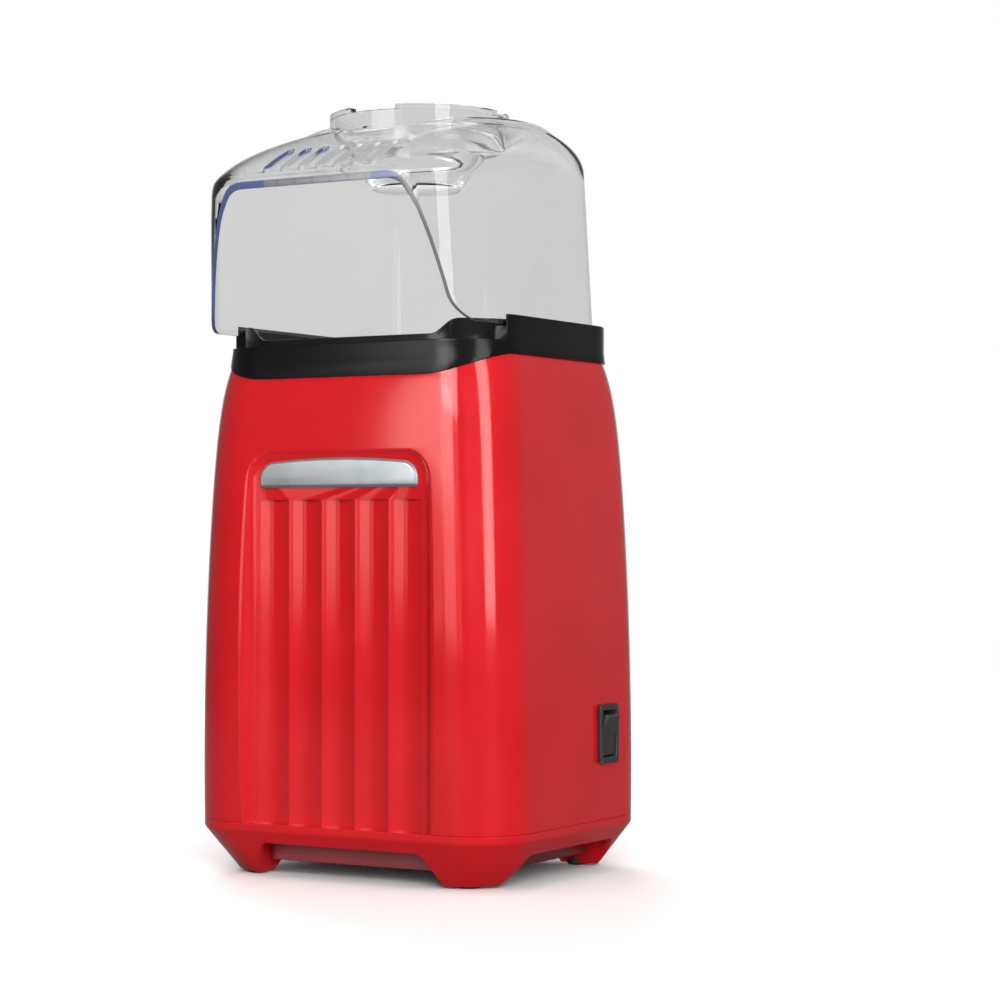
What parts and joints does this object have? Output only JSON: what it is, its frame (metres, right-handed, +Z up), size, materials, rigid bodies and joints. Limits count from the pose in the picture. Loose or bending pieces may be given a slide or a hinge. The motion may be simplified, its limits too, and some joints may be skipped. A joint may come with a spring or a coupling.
{
  "type": "popcorn maker",
  "caption": "Tower hot-air popcorn maker: fluted housing on a footed base, tray collar, clear lift-off hood with a leaning mouth and measuring cup, fan, heater and popping chamber inside.",
  "frame": {"origin": "under the middle of the outer box, on the surface that the four pads rest on", "axes": "+Z up, -Y out of the hood's mouth (front), +X towards the side with the switch"},
  "size_m": [0.1485, 0.1386, 0.298],
  "materials": {
    "red_shell": "high gloss",
    "red_pan": "satin",
    "rubber": "matt",
    "grey_plate": "satin metallic",
    "black_plastic": "semi-gloss",
    "clear_plastic": "clear, polished",
    "aluminium": "pressed, satin",
    "silicone": "matt",
    "sheet_steel": "rolled",
    "mica": "matt, flaky",
    "heater_wire": "oxidised",
    "fan_plastic": "satin",
    "duct_plastic": "matt",
    "motor_steel": "plated",
    "ferrite": "matt",
    "windings": "enamelled copper and laminations",
    "shaft_steel": "ground",
    "bronze": "sintered",
    "cap_plastic": "matt",
    "board": "solder mask",
    "cutout_case": "ceramic white",
    "screw_steel": "zinc plated"
  },
  "bodies": {
    "tower": {"housing": "red_shell", "base_skirt": "red_shell", "bottom_plate": "red_pan", "foot_pads": "rubber", "badge": "grey_plate", "collar": "black_plastic", "popping_chamber": "aluminium", "chamber_gasket": "silicone", "heater_duct": "sheet_steel", "heater_frame": "mica", "heater_coil": "heater_wire", "fan_shroud": "duct_plastic", "motor_can": "motor_steel", "motor_magnets": "ferrite", "motor_bushes": "bronze", "motor_end_cap": "cap_plastic", "rectifier_board": "board", "thermostat": "cutout_case", "thermal_fuse": "cutout_case", "switch_body": "black_plastic", "cord_gland": "rubber", "base_screws": "screw_steel", "collar_screws": "screw_steel", "shroud_screws": "screw_steel"},
    "hood": {"hood": "clear_plastic"},
    "cup": {"measuring_cup": "clear_plastic"},
    "rotor": {"fan_impeller": "fan_plastic", "impeller_clip": "screw_steel", "motor_armature": "windings", "motor_shaft": "shaft_steel"},
    "rocker": {"switch_rocker": "black_plastic"}
  },
  "joints": [
    {"name": "hood_lift", "type": "slide", "parent": "tower", "child": "hood", "axis": [0, 0, 1], "range_m": [0, 0.1]},
    {"name": "cup_lift", "type": "slide", "parent": "hood", "child": "cup", "axis": [0, 0, 1], "range_m": [0, 0.06]},
    {"name": "fan_spin", "type": "hinge", "parent": "tower", "child": "rotor", "pos_m": [-0.0012, 0.00649, 0.074], "axis": [0, 0, 1], "continuous": true},
    {"name": "rocker_tilt", "type": "hinge", "parent": "tower", "child": "rocker", "pos_m": [0.069, 0.02849, 0.0545], "axis": [0, -1, 0], "range_deg": [0, 18]}
  ]
}
